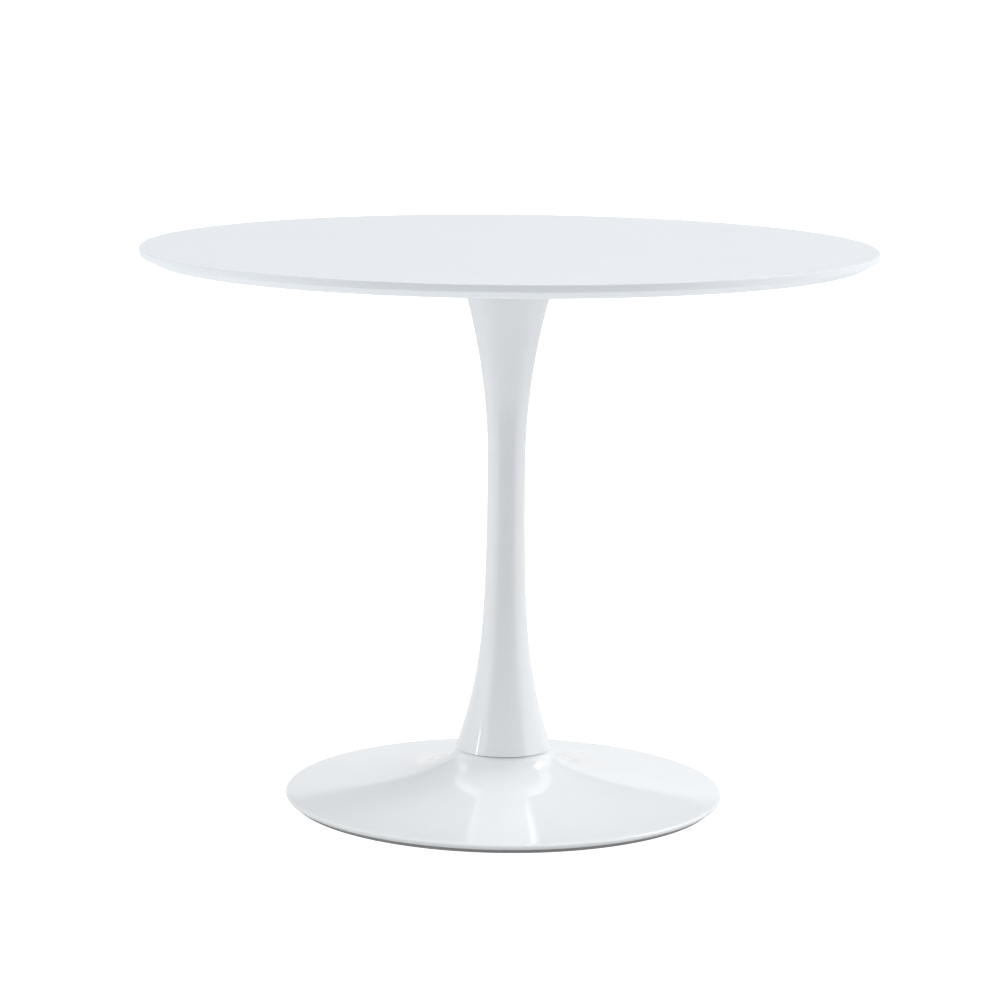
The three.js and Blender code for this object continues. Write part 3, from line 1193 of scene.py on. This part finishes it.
    def make_floor(self):
        """A pale floor with no edge in sight. The camera sees it plain white; its glow has a
        painted shade under the table.
        """
        deselect_all()
        bpy.ops.mesh.primitive_plane_add(size=2 * self.FLOOR_HALF, location=(0, 0, 0))
        floor = bpy.context.object
        floor.name = "pale_floor"
        finish = Finish("pale studio floor")
        finish.set(Base_Color=self.FLOOR_GREY, Roughness=0.9)
        finish.set(Emission_Color=self.WHITE, Emission_Strength=0.9)
        tree = finish.material.node_tree
        part = tree.nodes.new("ShaderNodeSeparateXYZ")
        tree.links.new(finish.place, part.inputs["Vector"])
        x, y = part.outputs["X"], part.outputs["Y"]
        away = tree.nodes.new("ShaderNodeVectorMath")
        away.operation = "LENGTH"
        tree.links.new(finish.place, away.inputs[0])
        distance = away.outputs["Value"]
        aside = self.apart(tree, self.heading(tree, x, y), self.DARK_HEADING)
        around = remap(tree, y, *self.BEHIND_FADE, self.BESIDE_TABLE, self.BEHIND_TABLE)
        far = remap(tree, aside, *self.DARK_FADE, self.TOWARDS_CAMERA, around)
        # painted shade: the floor's glow dims close under the table, in place of the table's shadow
        near = remap(tree, distance, *self.SHADE_FADE, self.SHADE_UNDER_TABLE, around)
        seen_in_paint = remap(tree, distance, *self.DARK_START, near, far)
        glow = tree.nodes.new("ShaderNodeEmission")
        tree.links.new(seen_in_paint, glow.inputs["Strength"])
        choose = tree.nodes.new("ShaderNodeMixShader")
        seen = tree.nodes.new("ShaderNodeLightPath").outputs["Is Camera Ray"]
        tree.links.new(seen, choose.inputs["Fac"])
        tree.links.new(glow.outputs["Emission"], choose.inputs[1])
        tree.links.new(finish.shader.outputs["BSDF"], choose.inputs[2])
        tree.links.new(choose.outputs["Shader"], tree.nodes["Material Output"].inputs["Surface"])
        floor.data.materials.append(finish.material)

    def make_camera(self, studio):
        data = bpy.data.cameras.new("camera")
        data.sensor_width = 36
        data.lens = studio.focal_length
        data.shift_x = studio.camera_shift
        camera = bpy.data.objects.new("camera", data)
        bpy.context.collection.objects.link(camera)
        stand = (studio.camera_side, -studio.camera_distance, studio.camera_height)
        place = Matrix.Translation(stand)
        yaw = Matrix.Rotation(studio.camera_yaw, 4, "Z")
        tilt = Matrix.Rotation(math.radians(90) - studio.camera_pitch, 4, "X")
        roll = Matrix.Rotation(studio.camera_roll, 4, "Z")
        camera.matrix_world = place @ yaw @ tilt @ roll
        bpy.context.scene.camera = camera

    def execute(self, context):
        bpy.context.scene.view_settings.view_transform = "Standard"
        self.make_floor()
        self.make_world()
        self.make_camera(settings_of(context).studio)
        return {"FINISHED"}


class TablePanel(Panel):
    """Lists the pieces of the table and their sizes"""

    bl_idname = "VIEW3D_PT_pedestal_table"
    bl_label = "Round Pedestal Table"
    bl_space_type = "VIEW_3D"
    bl_region_type = "UI"
    bl_category = "Table"

    def draw(self, context):
        settings = settings_of(context)
        groups = (
            (MakeFinishes, settings.finishes),
            (MakeTabletop, settings.tabletop),
            (MakeColumn, settings.column),
            (MakeBase, settings.base),
            (MakeFootRing, None),
            (MakeBottomCover, None),
            (MakeMountingPlate, None),
            (MakeScrews, None),
            (MakeClamping, settings.fixings),
            (MakeStudio, settings.studio),
        )
        for operator, group in groups:
            box = self.layout.box()
            box.operator(operator.bl_idname)
            if group:
                for name in group.__annotations__:
                    box.prop(group, name)


SETTINGS = (
    TabletopSettings,
    ColumnSettings,
    BaseSettings,
    FixingSettings,
    FinishSettings,
    StudioSettings,
    PedestalTableSettings,
)
PIECES = (
    MakeTabletop,
    MakeColumn,
    MakeBase,
    MakeFootRing,
    MakeBottomCover,
    MakeMountingPlate,
    MakeScrews,
    MakeClamping,
)
CLASSES = (*SETTINGS, MakeFinishes, MakeStudio, *PIECES, TablePanel)


def register():
    for each in CLASSES:
        bpy.utils.register_class(each)
    bpy.types.Scene.pedestal_table = PointerProperty(type=PedestalTableSettings)


def unregister():
    del bpy.types.Scene.pedestal_table
    for each in reversed(CLASSES):
        bpy.utils.unregister_class(each)


def run(operator):
    group, name = operator.bl_idname.split(".")
    getattr(getattr(bpy.ops, group), name)()


def main():
    register()
    run(MakeFinishes)
    run(MakeStudio)
    for operator in PIECES:
        run(operator)


if __name__ == "__main__":
    main()
